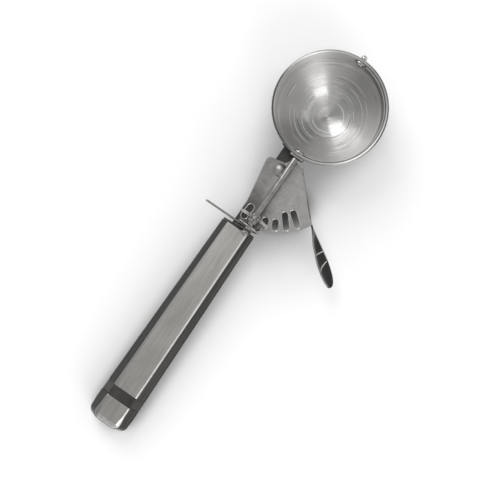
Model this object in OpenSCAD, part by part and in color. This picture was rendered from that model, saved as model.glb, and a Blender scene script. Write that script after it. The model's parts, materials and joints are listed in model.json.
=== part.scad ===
// Lever ice cream scoop: a half-round bowl whose scraper blade is turned by a thumb lever
// through a slotted sector plate and a star wheel.
// Inner frame of the tool: X towards the bowl's tip, Z out of the mouth, origin at the
// centre of the bowl on the shaft's axis. lay() then sets the tool on a table, mouth up.

/* [Bowl] */
// Inner radius of the bowl
bowl_r = 28; // [25:0.5:34]
// Wall of the bowl
bowl_wall = 0.8; // [0.6:0.1:1.2]
// Height of the rim above the scraper shaft
rim_h = 3.6; // [3.2:0.1:5]
// Thickness of the rolled rim
bead_d = 1.4; // [1.2:0.1:1.8]

/* [Scraper] */
// Width of the blade at the middle of the bowl
blade_w = 9; // [7.5:0.5:11]
// Thickness of the blade
blade_t = 0.6; // [0.5:0.1:0.8]
// Gap between the blade and the bowl
blade_gap = 0.45; // [0.3:0.05:0.6]
// Radius of the blade's two round ends
blade_end_r = 3.4; // [2.8:0.1:4]
// Angle that the parked blade lies below the rim
park_angle = 5; // [4:0.5:8]
// Diameter of the scraper shaft
shaft_d = 3.1; // [2.6:0.1:3.8]
// Number of teeth on the star wheel
wheel_teeth = 8; // [8:1:9]
// Radius over the star wheel's tips
wheel_tip_r = 7.85; // [7.8:0.05:8.4]
// Radius at which the wheel rolls on the sector
wheel_pitch_r = 6.8; // [6.7:0.05:8.2]
// Thickness of the star wheel
wheel_t = 1.5; // [1.2:0.1:1.8]

/* [Lever] */
// Free neck between the bowl and the lever's pivot
neck_free = 11; // [9:0.5:14]
// Distance of the pivot to the left of the shaft
pivot_side = 3.4; // [2.8:0.1:4.2]
// Distance from the pivot to the star wheel
mesh_r = 27.7; // [26:0.1:33.5]
// Width of the sector plate beyond the mesh with the star wheel
sector_lip = 4.3; // [3.6:0.1:5.2]
// Thickness of the sector plate
plate_t = 0.9; // [0.8:0.05:1.1]
// Width of the slots in the sector
slot_w = 3.25; // [3.1:0.05:3.4]
// Height of the folded edge
flange_h = 7; // [5.5:0.5:8.5]
// Length of the thumb pad
pad_l = 34; // [28:0.5:41]
// Width of the thumb pad
pad_w = 14; // [12:0.5:17]

/* [Stem] */
// Width of the stem
stem_w = 8.4; // [7:0.2:10]
// Height of the stem's folded sides
stem_h = 5; // [4.2:0.2:6]
// Wall of the stem
stem_t = 1.2; // [1:0.1:1.5]

/* [Handle] */
// Length of the handle from the front plate to the end
handle_l = 120; // [100:1:145]
// Thickness of the handle at the front
grip_t0 = 13.4; // [12.6:0.2:16.2]
// Thickness of the handle at the end
grip_t1 = 17; // [14:0.2:20.4]
// Width of the flat top of the handle at the front
flat_w0 = 11.5; // [10:0.5:14]
// Width of the flat top of the handle at the end
flat_w1 = 13.4; // [11:0.5:16]
// Wall of the handle shell
grip_wall = 0.9; // [0.8:0.1:1.4]
// Width of the dark band
band_w = 5.8; // [4.8:0.1:7]
// Length of the end cap
cap_l = 13.8; // [11.5:0.1:16.6]

/* [Spring] */
// Diameter of the spring wire
wire_d = 1.1; // [0.9:0.05:1.2]
// Outer radius of the spring coil
coil_r = 6.1; // [5.6:0.05:6.1]
// Length of the spring's free leg from the shaft's axis
spring_leg = 26; // [21:0.5:31.2]

/* [Hidden] */

steel = [0.72, 0.71, 0.7];
dark_steel = [0.42, 0.41, 0.4];
black = [0.1, 0.1, 0.1];

$fn = 96;
run = 0.06;                       // radial clearance of a turning fit
seat = 0.02;                      // clearance of a fixed seat
weld = 0.1;                       // clearance of a welded seat on the round bowl
gap = 0.3;                        // clearance between pieces that move past each other
cut = 1;                          // how far a cutter runs past a face

// bowl and scraper
bowl_ro = bowl_r + bowl_wall;
rim_r = sqrt(bowl_ro * bowl_ro - rim_h * rim_h) - bowl_wall / 2;
bead_ring_r = rim_r + bead_d / 4;
shaft_r = shaft_d / 2;
blade_ro = bowl_r - blade_gap;
blade_ri = blade_ro - blade_t;
blade_end_x = blade_ro - 0.05;    // outer face of the blade's flat ends
blade_end_t = blade_t + 0.15;
spigot_r = shaft_r - 0.45;
head_r = spigot_r + 0.9;
head_h = 0.8;
pin_r = 1.0;                      // shank of the front pivot pin
knob_r = 1.6;
knob_l = 2.7;
washer_r = 2.3;
washer_t = 0.6;
bush_r = shaft_r + 1.2;
bush_flange_r = bush_r + 1.3;
bush_flange_t = 1.4;

// levels and stations
plate_z = -wheel_pitch_r;
plate_top = plate_z + plate_t / 2;
plate_bottom = plate_z - plate_t / 2;
spacer_t = 0.9;
stem_top = plate_bottom - spacer_t;
stem_y = pivot_side + 1.1;        // centre of the stem and the handle
pivot_x = -(bowl_r + neck_free);
wheel_x = pivot_x - mesh_r;
coil_x = wheel_x - wheel_t / 2 - 3.05;      // first turn's centre
coil_turns = 1.25;
coil_pitch = wire_d + 0.5;
coil_mean_r = coil_r - wire_d / 2;
leg_x = coil_x - coil_turns * coil_pitch;
bracket_t = 1.0;
bracket_x = leg_x - wire_d / 2 - gap;       // front face of the bracket
plate_x = bracket_x - bracket_t;            // front face of the handle's front plate
front_plate_t = 1.1;
grip_x = plate_x - front_plate_t;           // front edge of the handle shell
end_x = plate_x - handle_l;
cap_x = end_x + cap_l;
band_x = cap_x + band_w;
saddle_t = 1.1;
saddle_ro = bowl_ro + saddle_t;
tang_h = 3;
tang_z = stem_top - tang_h / 2;
grip_z = tang_z;
tang_w = stem_w - 2;
tang_l = 42;
shaft_end_x = plate_x - 1.9;

// sector
sector_r = mesh_r + sector_lip;
ratio = mesh_r / wheel_pitch_r;
slot_pitch = 360 / wheel_teeth / ratio;
slot_0 = atan(pivot_side / mesh_r);         // slot that holds a tooth at rest
slot_r = slot_w / 2;
slot_out_r = sector_r - 1.2 - slot_r;
rivet_r = 1.4;
rivet_head_r = 3.5;
rivet_head_h = 1.5;
rivet_tail_r = stem_w / 2 - stem_t - (stem_y - pivot_side) - 0.1;

// points on the sector are [right, down] from the pivot, as seen into the mouth
corner_top = [9.0, -7.3];
corner_low = sector_r * [sin(64.6), cos(64.6)];
pad_angle = 50;

function arc(centre, r, from, to, n) =
    [for (i = [0:n]) centre + r * [sin(from + (to - from) * i / n), cos(from + (to - from) * i / n)]];

module along_x() rotate([0, 90, 0]) children();
module round_x(x, r, l) translate([x, 0, 0]) along_x() cylinder(r = r, h = l);
module from_pivot(z) translate([pivot_x, pivot_side, z]) mirror([0, 1, 0]) rotate([0, 0, 90]) children();

// ---- bowl and what sits on it ----

module bowl() color(steel) difference() {
    union() {
        rotate_extrude() difference() {
            intersection() {
                circle(r = bowl_ro);
                translate([0, -bowl_ro]) square([bowl_ro, bowl_ro + rim_h]);
            }
            circle(r = bowl_r);
        }
        translate([0, 0, rim_h]) rotate_extrude() translate([bead_ring_r, 0]) circle(d = bead_d, $fn = 24);
    }
    round_x(-bowl_ro - cut, bush_r + weld, bowl_r / 2);
    round_x(bowl_r / 2, pin_r + run, bowl_ro);
}

// Flanged bush that carries the shaft through the back of the bowl, flat under the rim
module rear_bush() color(steel) difference() {
    union() {
        round_x(-bowl_ro - seat, bush_r, bowl_wall + 2 * seat);
        round_x(-bowl_ro - seat - bush_flange_t, bush_flange_r, bush_flange_t);
    }
    round_x(-bowl_ro - bush_flange_t - cut, shaft_r + run, 2 * bush_flange_t + 2 * cut);
    translate([-bowl_ro - bush_flange_t - cut, -bush_flange_r - cut, rim_h - bead_d / 2 - weld])
        cube([bush_flange_t + 2 * cut, 2 * bush_flange_r + 2 * cut, bush_flange_r]);
}

module front_washer() color(steel) difference() {
    round_x(bowl_ro + seat, washer_r, washer_t);
    round_x(bowl_ro - cut, pin_r + run, washer_t + 2 * cut);
}

// Pin at the tip of the bowl: round head inside the blade, long domed knob outside
module front_pivot_pin() color(steel) along_x() rotate_extrude() union() {
    knob_x = bowl_ro + washer_t + run;
    head_x = blade_end_x - blade_end_t - seat - head_h;
    translate([0, head_x]) square([head_r, head_h]);
    translate([0, head_x]) square([pin_r, knob_x - head_x + knob_l / 2]);
    intersection() {
        union() {
            translate([0, knob_x]) square([knob_r, knob_l - knob_r]);
            translate([0, knob_x + knob_l - knob_r]) circle(r = knob_r);
        }
        translate([0, knob_x]) square([knob_r, knob_l]);
    }
}

// ---- scraper ----

// Lens outline that narrows the blade towards its round ends
module blade_lens() {
    sag = (blade_w / 2 - blade_end_r);
    lens_r = (bowl_r * bowl_r + sag * sag) / (2 * sag);
    intersection() {
        translate([0, lens_r - blade_w / 2]) circle(r = lens_r, $fn = 1440);
        translate([0, -lens_r + blade_w / 2]) circle(r = lens_r, $fn = 1440);
        square([2 * bowl_r, blade_w + cut], center = true);
    }
}

// Band that follows the bowl, with a flat round end at each pivot
module scraper_blade() color(steel) rotate([park_angle, 0, 0]) difference() {
    union() {
        intersection() {
            rotate([0, 0, 180]) rotate_extrude(angle = 180) intersection() {
                difference() {
                    circle(r = blade_ro);
                    circle(r = blade_ri);
                }
                translate([0, -blade_w / 2 - cut]) square([bowl_r, blade_w + 2 * cut]);
            }
            translate([0, cut, 0]) rotate([90, 0, 0]) linear_extrude(height = bowl_r + cut) blade_lens();
        }
        round_x(-blade_end_x, blade_end_r, blade_end_t);
        round_x(blade_end_x - blade_end_t, blade_end_r, blade_end_t);
    }
    round_x(-bowl_r, spigot_r + seat, bowl_r / 2);
    round_x(bowl_r / 2, pin_r + seat, bowl_r / 2);
}

module scraper_shaft() color(steel) along_x() rotate_extrude() union() {
    head_x = -blade_end_x + blade_end_t + seat;
    translate([0, shaft_end_x]) square([shaft_r, -blade_end_x - seat - shaft_end_x]);
    translate([0, shaft_end_x]) square([spigot_r, head_x + head_h - shaft_end_x]);
    translate([0, head_x]) square([head_r, head_h]);
}

module star_tooth() {
    root_half = 1.75;
    tip_half = 0.5;
    polygon([[1, -root_half], [5, -root_half], [wheel_tip_r, -tip_half],
        [wheel_tip_r, tip_half], [5, root_half], [1, root_half]]);
}

module star_wheel() color(steel) translate([wheel_x - wheel_t / 2, 0, 0]) along_x()
    linear_extrude(height = wheel_t) difference() {
        union() {
            circle(r = wheel_tip_r - 2.65);
            for (i = [0:wheel_teeth - 1]) rotate(360 / wheel_teeth * i) star_tooth();
        }
        circle(r = shaft_r + seat);
    }

module wheel_collar() color(steel) difference() {
    round_x(wheel_x - wheel_t / 2 - 2, shaft_r + 1.1, 2);
    round_x(wheel_x - wheel_t / 2 - 2 - cut, shaft_r + seat, 2 + 2 * cut);
}

// Push nut that keeps the shaft in its bracket
module shaft_clip() color(steel) along_x() translate([0, 0, shaft_end_x + 0.3]) rotate_extrude() difference() {
    translate([shaft_r + seat, 0]) square([0.55, 0.9]);
    translate([shaft_r + 0.9, 0]) circle(r = 0.35, $fn = 24);
}

// ---- lever ----

// Sector outline: folded edge, outer arc, left wing, then the step up past the rivet
module sector_outline() polygon(concat(
    [corner_top],
    arc([0, 0], sector_r, 64.6, -6.2, 36),
    [[-8.95, 0.2]],
    arc([-6.9, -1.1], 2.1, -98, -170, 6),
    [[-3.2, -3.9], [-1.6, -4.3]],
    arc([-1.2, -6.9], 2.6, 10, 60, 5),
    [[1.9, -7.6], [5.2, -7.7], [6.4, -7.2], [7.4, -6.7], [8.0, -6.8]]));

// One slot, from inner radius r to the outer end, at an angle to the right of the handle
module slot(angle, r) rotate(-angle) {
    translate([0, slot_out_r]) circle(r = slot_r, $fn = 48);
    translate([0, r]) circle(r = slot_r, $fn = 48);
    translate([-slot_r, r]) square([slot_w, slot_out_r - r]);
}

slot_inner = [for (d = [3.7, 1.2, 1.2, 1.2, 4.8, 4.8]) mesh_r - d];

// Half width and bow of the lever's strip at u, from 0 at the sector to 1 at the pad's tip
function leaf(u) = u < 0.66
    ? flange_h / 2 + (pad_w - flange_h) / 2 * pow(ease(u / 0.66), 2)
    : pad_w / 2 * sqrt(max(0.012, 1 - pow((u - 0.66) / 0.34, 2.4)));
function bow(u) = sin(180 * u);
function ease(u) = u * u * (3 - 2 * u);
function twist(u) = pad_twist * ease(min(1, u / 0.35));
pad_twist = 24;
pad_z = plate_bottom - flange_h / 2 + 0.4;
pad_steps = 16;
pad_across = 6;
pad_dir = [sin(pad_angle), cos(pad_angle)];
pad_side = [cos(pad_angle), -sin(pad_angle)];
pad_t = plate_t;

function pad_point(u, v, s) = let (
        half = leaf(u),
        dish = 0.9 * (v * v) * half / (pad_w / 2) * ease(min(1, u * 2)) + s * pad_t / 2,
        side = dish * cos(twist(u)) - v * half * sin(twist(u)) - bow(u),
        p = corner_low + (pad_l * u - 0.9) * pad_dir + side * pad_side)
    [p[0], p[1], pad_z + v * half * cos(twist(u)) + dish * sin(twist(u))];

// Dished leaf: a grid of points on both faces, closed round its edge
module thumb_pad() {
    nu = pad_steps + 1;
    nv = pad_across + 1;
    face = nu * nv;
    points = [for (s = [-1, 1]) for (i = [0:pad_steps]) for (j = [0:pad_across])
        pad_point(i / pad_steps, 2 * j / pad_across - 1, s)];
    function at(s, i, j) = s * face + i * nv + j;
    sides = [for (i = [0:pad_steps - 1]) for (j = [0:pad_across - 1]) for (s = [0, 1])
        s == 0 ? [at(0, i, j), at(0, i + 1, j), at(0, i + 1, j + 1), at(0, i, j + 1)]
               : [at(1, i, j + 1), at(1, i + 1, j + 1), at(1, i + 1, j), at(1, i, j)]];
    long_edges = [for (i = [0:pad_steps - 1]) for (j = [0, pad_across])
        j == 0 ? [at(0, i, 0), at(1, i, 0), at(1, i + 1, 0), at(0, i + 1, 0)]
               : [at(0, i + 1, j), at(1, i + 1, j), at(1, i, j), at(0, i, j)]];
    ends = [for (j = [0:pad_across - 1]) for (i = [0, pad_steps])
        i == 0 ? [at(0, 0, j + 1), at(1, 0, j + 1), at(1, 0, j), at(0, 0, j)]
               : [at(0, i, j), at(1, i, j), at(1, i, j + 1), at(0, i, j + 1)]];
    polyhedron(points = points, faces = concat(sides, long_edges, ends));
}

module flange() {
    run_v = corner_low - corner_top;
    len = norm(run_v);
    side = [run_v[1], -run_v[0]] / len * plate_t;
    translate([0, 0, -flange_h + plate_t])
        linear_extrude(height = flange_h)
            polygon([corner_top, corner_low, corner_low - side, corner_top - side]);
}

module thumb_lever() color(steel) union() {
    difference() {
        from_pivot(plate_bottom) union() {
            linear_extrude(height = plate_t) sector_outline();
            flange();
        }
        for (i = [0:5])
            from_pivot(plate_bottom - cut) linear_extrude(height = plate_t + 2 * cut)
                slot(slot_0 + (i - 1) * slot_pitch, slot_inner[i]);
        translate([pivot_x, pivot_side, plate_bottom - cut]) cylinder(r = rivet_r + run, h = plate_t + 2 * cut);
    }
    from_pivot(0) thumb_pad();
}

module pivot_washer() color(steel) translate([pivot_x, pivot_side, stem_top + seat]) difference() {
    cylinder(r = rivet_head_r, h = spacer_t - 2 * seat);
    translate([0, 0, -cut]) cylinder(r = rivet_r + seat, h = spacer_t + 2 * cut);
}

// Domed rivet through the sector, its washer and the stem
module pivot_rivet() color(steel) translate([pivot_x, pivot_side, 0]) rotate_extrude() union() {
    dome_r = (rivet_head_r * rivet_head_r + rivet_head_h * rivet_head_h) / (2 * rivet_head_h);
    translate([0, stem_top - stem_t - 0.9]) square([rivet_r, plate_top + run - stem_top + stem_t + 1]);
    intersection() {
        translate([0, plate_top + run + rivet_head_h - dome_r]) circle(r = dome_r);
        translate([0, plate_top + run]) square([rivet_head_r, rivet_head_h]);
    }
    translate([0, stem_top - stem_t - 1]) square([rivet_tail_r, 1 - seat]);
}

// ---- stem ----

// Channel that is open below, from the bowl to the handle, with a flat tang behind
module stem() color(steel) difference() {
    union() {
        translate([grip_x - 6, stem_y - stem_w / 2, stem_top - stem_h])
            cube([-grip_x + 6, stem_w, stem_h]);
        translate([grip_x - tang_l, stem_y - tang_w / 2, stem_top - tang_h])
            cube([tang_l, tang_w, tang_h]);
    }
    translate([bracket_x, stem_y - stem_w / 2 + stem_t, stem_top - stem_h - cut])
        cube([-bracket_x, stem_w - 2 * stem_t, stem_h - stem_t + cut]);
    translate([grip_x - 6 - cut, stem_y - stem_w / 2 - cut, stem_top - stem_h - cut])
        cube([6 + cut + plate_x - grip_x + front_plate_t, stem_w + 2 * cut, stem_h - tang_h + cut]);
    translate([grip_x - tang_l, stem_y - stem_w / 2 - cut, stem_top - stem_h])
        cube([tang_l + bracket_x - grip_x, (stem_w - tang_w) / 2 + cut, stem_h + cut]);
    translate([grip_x - tang_l, stem_y + tang_w / 2, stem_top - stem_h])
        cube([tang_l + bracket_x - grip_x, (stem_w - tang_w) / 2 + cut, stem_h + cut]);
    sphere(r = saddle_ro + weld);
    translate([pivot_x, pivot_side, stem_top - stem_h]) cylinder(r = rivet_r + seat, h = stem_h + cut);
    for (y = bracket_ys)
        translate([bracket_rivet_x, y, stem_top - stem_h]) cylinder(r = small_rivet_r + seat, h = stem_h + cut);
    translate([tang_pin_x, stem_y, stem_top - stem_h - cut]) cylinder(r = tang_pin_r + seat, h = stem_h + 2 * cut);
}

// Foot that spreads the stem over the back of the bowl
module bowl_saddle() color(steel) intersection() {
    difference() {
        sphere(r = saddle_ro);
        sphere(r = bowl_ro + weld);
    }
    translate([-saddle_ro, stem_y, stem_top - stem_h / 2]) along_x() linear_extrude(height = bowl_r / 2) {
        square([stem_h + 3, stem_w + 3], center = true);
        translate([stem_h / 2 + 1.5, 0]) circle(d = stem_w + 3);
    }
}

// ---- shaft bracket at the handle ----

small_rivet_r = 0.6;
small_head_r = 0.9;
small_head_h = 0.4;
foot_t = 0.6;
foot_l = 2.1;
bracket_ys = [stem_y - 1.8, stem_y + 1.8];
bracket_rivet_x = bracket_x + small_head_r + 0.05;

module shaft_bracket() color(steel) difference() {
    union() {
        translate([plate_x + seat, 0, 0]) along_x() linear_extrude(height = bracket_t - seat) {
            circle(r = shaft_r + 1.2);
            polygon([[0, -shaft_r - 1.2], [-stem_top, stem_y - stem_w / 2], [-stem_top, stem_y + stem_w / 2],
                [0, shaft_r + 1.2]]);
        }
        translate([plate_x + seat, stem_y - stem_w / 2, stem_top + seat])
            cube([bracket_t + foot_l, stem_w, foot_t]);
    }
    round_x(plate_x - cut, shaft_r + run, bracket_t + 2 * cut);
    for (y = bracket_ys)
        translate([bracket_rivet_x, y, stem_top - cut]) cylinder(r = small_rivet_r + seat, h = foot_t + 2 * cut);
}

module bracket_rivets() color(steel) for (y = bracket_ys)
    translate([bracket_rivet_x, y, 0]) {
        head_z = stem_top + foot_t + 2 * seat;
        tail_z = stem_top - stem_t - seat - small_head_h;
        translate([0, 0, tail_z]) cylinder(r = small_rivet_r, h = head_z + small_head_h - tail_z);
        translate([0, 0, head_z]) cylinder(r = small_head_r, h = small_head_h);
        translate([0, 0, tail_z]) cylinder(r = small_head_r, h = small_head_h);
    }

// ---- spring ----

coil_rings = 8;
coil_steps = coil_turns * coil_rings;
function coil_at(i) = let (a = 270 - 360 * coil_turns + 360 * i / coil_rings)
    [coil_x - coil_pitch * i / coil_rings, coil_mean_r * cos(a), coil_mean_r * sin(a)];
function coil_out(i) = let (a = 270 - 360 * coil_turns + 360 * i / coil_rings) [0, cos(a), sin(a)];

// Straight hook up to the wheel, the coil, then the long straight leg
hook_top_x = wheel_x - wheel_t / 2 - gap;
spring_path = concat(
    [[hook_top_x, -coil_mean_r - 0.1, 0], [hook_top_x - wire_d, -coil_mean_r - 0.05, 0]],
    [for (i = [0:coil_steps]) coil_at(i)],
    [for (s = [0.2, 0.6, 1]) [leg_x, s * spring_leg, -coil_mean_r]]);
spring_out = concat([coil_out(0), coil_out(0)], [for (i = [0:coil_steps]) coil_out(i)],
    [for (s = [1:3]) [0, 0, -1]]);
spring_n = len(spring_path);
function unit(v) = v / norm(v);
function tangent(i) = unit(spring_path[min(i + 1, spring_n - 1)] - spring_path[max(i - 1, 0)]);

module return_spring() color(steel) {
    sides = 6;
    rings = [for (i = [0:spring_n - 1]) let (t = tangent(i), b = unit(cross(t, spring_out[i])), o = cross(b, t))
        for (k = [0:sides - 1]) let (a = 360 * k / sides) spring_path[i] + wire_d / 2 * (cos(a) * o + sin(a) * b)];
    walls = [for (i = [0:spring_n - 2]) for (k = [0:sides - 1]) let (n = (k + 1) % sides) for (h = [0, 1])
        h == 0 ? [i * sides + k, i * sides + n, (i + 1) * sides + n]
               : [i * sides + k, (i + 1) * sides + n, (i + 1) * sides + k]];
    first = [for (k = [1:sides - 2]) [0, k + 1, k]];
    last = [for (k = [1:sides - 2]) let (b = (spring_n - 1) * sides) [b, b + k, b + k + 1]];
    polyhedron(points = rings, faces = concat(walls, first, last));
}

// Least gap between turns, measured on the centre line's points
coil_gap = min([for (i = [0:coil_steps]) for (j = [i + coil_rings - 1:coil_steps])
    norm(coil_at(i) - coil_at(j))]) - wire_d;
echo(coil_gap = coil_gap);

// ---- handle ----

function grip_s(x) = (plate_x - x) / handle_l;
function grip_t(x) = grip_t0 + (grip_t1 - grip_t0) * grip_s(x);
function flat_w(x) = flat_w0 + (flat_w1 - flat_w0) * grip_s(x);
function grip_half(x) = flat_w(x) / 2 + grip_t(x) / 2 / tan(60);
edge_r = 1.3;

// Six corners of the handle's outline at x, drawn in by d
function grip_corners(x, d) = let (f = flat_w(x) / 2 - d / sqrt(3), t = grip_t(x) / 2 - d, w = grip_half(x) - d * 2 / sqrt(3))
    [[f, t], [w, 0], [f, -t], [-f, -t], [-w, 0], [-f, t]];

// Solid with the handle's six-sided outline between two stations, drawn in by d
module grip_body(x0, x1, d, r = edge_r) translate([0, stem_y, grip_z]) hull() {
    for (x = [x0, x1]) for (c = grip_corners(x, d + r))
        translate([x == x1 ? x : x - 0.01, c[0], c[1]]) along_x() cylinder(r = r, h = 0.01, $fn = 24);
}

module front_plate() color(black) difference() {
    union() {
        grip_body(plate_x, grip_x + seat, 0.25);
        grip_body(grip_x + seat, grip_x - 5, grip_wall + seat, 0.6);
    }
    translate([grip_x - 5 - cut, stem_y - tang_w / 2 - seat, stem_top - tang_h - seat])
        cube([front_plate_t + 5 + 2 * cut, tang_w + 2 * seat, tang_h + 2 * seat]);
}

// Block that fills the shell round the tang
block_l = 14;
block_x = grip_x - 5 - seat;
tang_pin_x = block_x - block_l / 2;
tang_pin_r = 1.2;
module tang_block() color(dark_steel) difference() {
    grip_body(block_x, block_x - block_l, grip_wall + seat, 0.6);
    translate([block_x - block_l - cut, stem_y - tang_w / 2 - seat, stem_top - tang_h - seat])
        cube([block_l + 2 * cut, tang_w + 2 * seat, tang_h + 2 * seat]);
    translate([tang_pin_x, stem_y, grip_z - grip_t1]) cylinder(r = tang_pin_r + seat, h = 2 * grip_t1);
}

module tang_pin() color(steel)
    translate([tang_pin_x, stem_y, grip_z - grip_t(tang_pin_x) / 2 + grip_wall + gap])
        cylinder(r = tang_pin_r, h = grip_t(tang_pin_x) - 2 * grip_wall - 2 * gap);

module handle_shell() color(steel) difference() {
    grip_body(grip_x, band_x, 0);
    grip_body(grip_x + cut, band_x - cut, grip_wall, 0.6);
}

// Dark ring with a spigot into the shell and one into the cap
spigot_l = 7;
module handle_band() color(black) union() {
    grip_body(band_x - seat, cap_x + seat, 0.15);
    grip_body(band_x + spigot_l, band_x - seat, grip_wall + seat, 0.6);
    grip_body(cap_x + seat, cap_x - spigot_l, grip_wall + seat, 0.6);
}

// Cup with rounded corners that closes the handle
corner = 4.2;
module handle_cap() color(steel) {
    difference() {
        translate([0, stem_y, grip_z]) hull() {
            for (c = grip_corners(cap_x, edge_r))
                translate([cap_x - 0.01, c[0], c[1]]) along_x() cylinder(r = edge_r, h = 0.01, $fn = 24);
            for (c = grip_corners(end_x + corner, corner))
                translate([end_x + corner, c[0], c[1]]) sphere(r = corner, $fn = 24);
        }
        grip_body(cap_x + cut, cap_x - spigot_l - gap, grip_wall, 0.6);
    }
}

// ---- laid on a table ----

// The tool tips back until the bowl's underside and the cap's heel both touch the table,
// and the middle of its length and width lies over the origin
heel = [end_x + corner, grip_z - grip_t(end_x + corner) / 2 + corner];
tip_back = asin((bowl_ro - corner) / norm(heel)) - atan2(-heel[1], -heel[0]);
cap_top = [end_x + corner, grip_z + grip_t(end_x + corner) / 2 - corner];
back_x = cap_top[0] * cos(tip_back) - cap_top[1] * sin(tip_back) - corner;
tip_x = (bowl_ro + washer_t + run + knob_l - knob_r) * cos(tip_back) + knob_r;
left_y = max(bead_ring_r + bead_d / 2, spring_leg);
right_y = pivot_side - max([for (i = [0:pad_steps]) for (j = [0:pad_across]) for (s = [-1, 1])
    pad_point(i / pad_steps, 2 * j / pad_across - 1, s)[0]]);
centre = [-(back_x + tip_x) / 2, -(left_y + right_y) / 2, bowl_ro];
module lay() translate(centre) rotate([0, -tip_back, 0]) children();
echo(tip_back = tip_back, centre = centre, ratio = ratio, pivot = [pivot_x, pivot_side, plate_z]);
echo(wheel_x = wheel_x, plate_x = plate_x, end_x = end_x, grip_z = grip_z, stem_y = stem_y);

lay() bowl();
lay() stem();
lay() bowl_saddle();
lay() rear_bush();
lay() front_washer();
lay() front_pivot_pin();
lay() scraper_blade();
lay() scraper_shaft();
lay() star_wheel();
lay() wheel_collar();
lay() thumb_lever();
lay() pivot_washer();
lay() pivot_rivet();
lay() shaft_bracket();
lay() bracket_rivets();
lay() shaft_clip();
lay() return_spring();
lay() front_plate();
lay() tang_block();
lay() tang_pin();
lay() handle_shell();
lay() handle_band();
lay() handle_cap();
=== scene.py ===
import json
import math

import bmesh
import bpy
from mathutils import Matrix, Vector


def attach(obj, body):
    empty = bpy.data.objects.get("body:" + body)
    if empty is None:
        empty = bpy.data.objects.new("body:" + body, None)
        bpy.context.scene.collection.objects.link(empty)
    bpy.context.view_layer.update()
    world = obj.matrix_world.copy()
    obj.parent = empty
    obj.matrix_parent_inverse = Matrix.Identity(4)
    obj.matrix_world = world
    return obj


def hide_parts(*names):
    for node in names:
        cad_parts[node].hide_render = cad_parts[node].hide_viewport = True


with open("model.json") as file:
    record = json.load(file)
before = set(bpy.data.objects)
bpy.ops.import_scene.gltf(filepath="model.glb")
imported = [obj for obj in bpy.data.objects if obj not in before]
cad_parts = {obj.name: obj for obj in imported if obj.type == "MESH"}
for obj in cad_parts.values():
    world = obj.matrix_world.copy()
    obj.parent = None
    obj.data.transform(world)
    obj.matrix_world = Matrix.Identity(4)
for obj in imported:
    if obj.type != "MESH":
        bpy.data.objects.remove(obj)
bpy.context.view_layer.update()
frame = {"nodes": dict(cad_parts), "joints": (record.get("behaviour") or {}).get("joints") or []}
joints = {j["name"]: j for j in frame["joints"]}
mm = 0.001

# The tool lies tipped back a little. Its own frame has X along the shaft towards the
# bowl's tip, Z out of the mouth, and the origin at the middle of the bowl.
shaftJoint, leverJoint = joints["scraper_turn"], joints["lever_squeeze"]
toolX = Vector(shaftJoint["axis"]).normalized()
toolZ = -Vector(leverJoint["axis"]).normalized()
toolY = toolZ.cross(toolX)
toolMatrix = Matrix((toolX, toolY, toolZ)).transposed().to_4x4()
toolMatrix.translation = Vector(shaftJoint["pos_m"])
toTool = toolMatrix.inverted()
pivot = toTool @ Vector(leverJoint["pos_m"]) / mm
print("frame loaded, lever pivot in the tool's frame", [round(v, 2) for v in pivot])


class Sock:
    # a socket that takes part in plain arithmetic
    def __init__(self, finish, out):
        self.finish, self.out = finish, out

    def __add__(self, other): return self.finish.maths("ADD", self, other)
    def __radd__(self, other): return self.finish.maths("ADD", other, self)
    def __sub__(self, other): return self.finish.maths("SUBTRACT", self, other)
    def __rsub__(self, other): return self.finish.maths("SUBTRACT", other, self)
    def __mul__(self, other): return self.finish.maths("MULTIPLY", self, other)
    def __rmul__(self, other): return self.finish.maths("MULTIPLY", other, self)


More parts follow.
